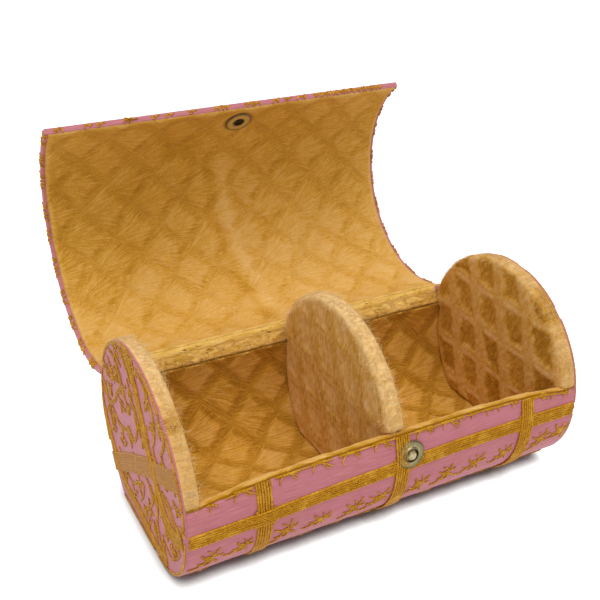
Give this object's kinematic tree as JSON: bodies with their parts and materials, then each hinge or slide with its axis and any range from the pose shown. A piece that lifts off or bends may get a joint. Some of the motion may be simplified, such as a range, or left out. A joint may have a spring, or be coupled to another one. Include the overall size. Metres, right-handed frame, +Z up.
{
  "type": "bangle box",
  "caption": "Half-round cloth-covered bangle box standing open: a velvet-lined trough with end discs and a divider, a curved lid on a cloth hinge and a brass press stud.",
  "frame": {"origin": "on the flat underside of the trough, on the surface that the box stands on, straight below the middle of the round section and halfway along the box", "axes": "+X along the box, from the plain left end to the right end; -Y towards the front wall with the press stud; +Z up"},
  "size_m": [0.19, 0.1868, 0.1537],
  "materials": {
    "satin": "pink satin with raised gold thread bands and crosses",
    "velvet": "tan velvet pressed with a diamond lattice",
    "strip_cloth": "rough tan pile cloth",
    "hardboard": "plain pressed board",
    "cardboard": "grey-brown card bent round",
    "antique_brass": "antique brass, worn bright on the raised parts",
    "spring_wire": "bright drawn wire"
  },
  "bodies": {
    "base": {"base_cover": "satin", "base_board": "hardboard", "base_lining": "velvet", "left_end_cover": "satin", "left_end_board": "hardboard", "left_end_pad": "velvet", "right_end_cover": "satin", "right_end_board": "hardboard", "right_end_pad": "velvet", "divider_board": "hardboard", "divider_sleeve": "velvet", "hinge_strip": "strip_cloth", "hinge_roll": "strip_cloth", "snap_stud": "antique_brass", "snap_rivet": "antique_brass"},
    "lid": {"lid_cover": "satin", "lid_board": "cardboard", "lid_lining": "velvet", "snap_socket": "antique_brass", "snap_spring": "spring_wire", "snap_cap": "antique_brass"}
  },
  "joints": [
    {"name": "lid_hinge", "type": "hinge", "parent": "base", "child": "lid", "pos_m": [0, 0.05151, 0.05654], "axis": [1, 0, 0], "range_deg": [0, 134]}
  ]
}
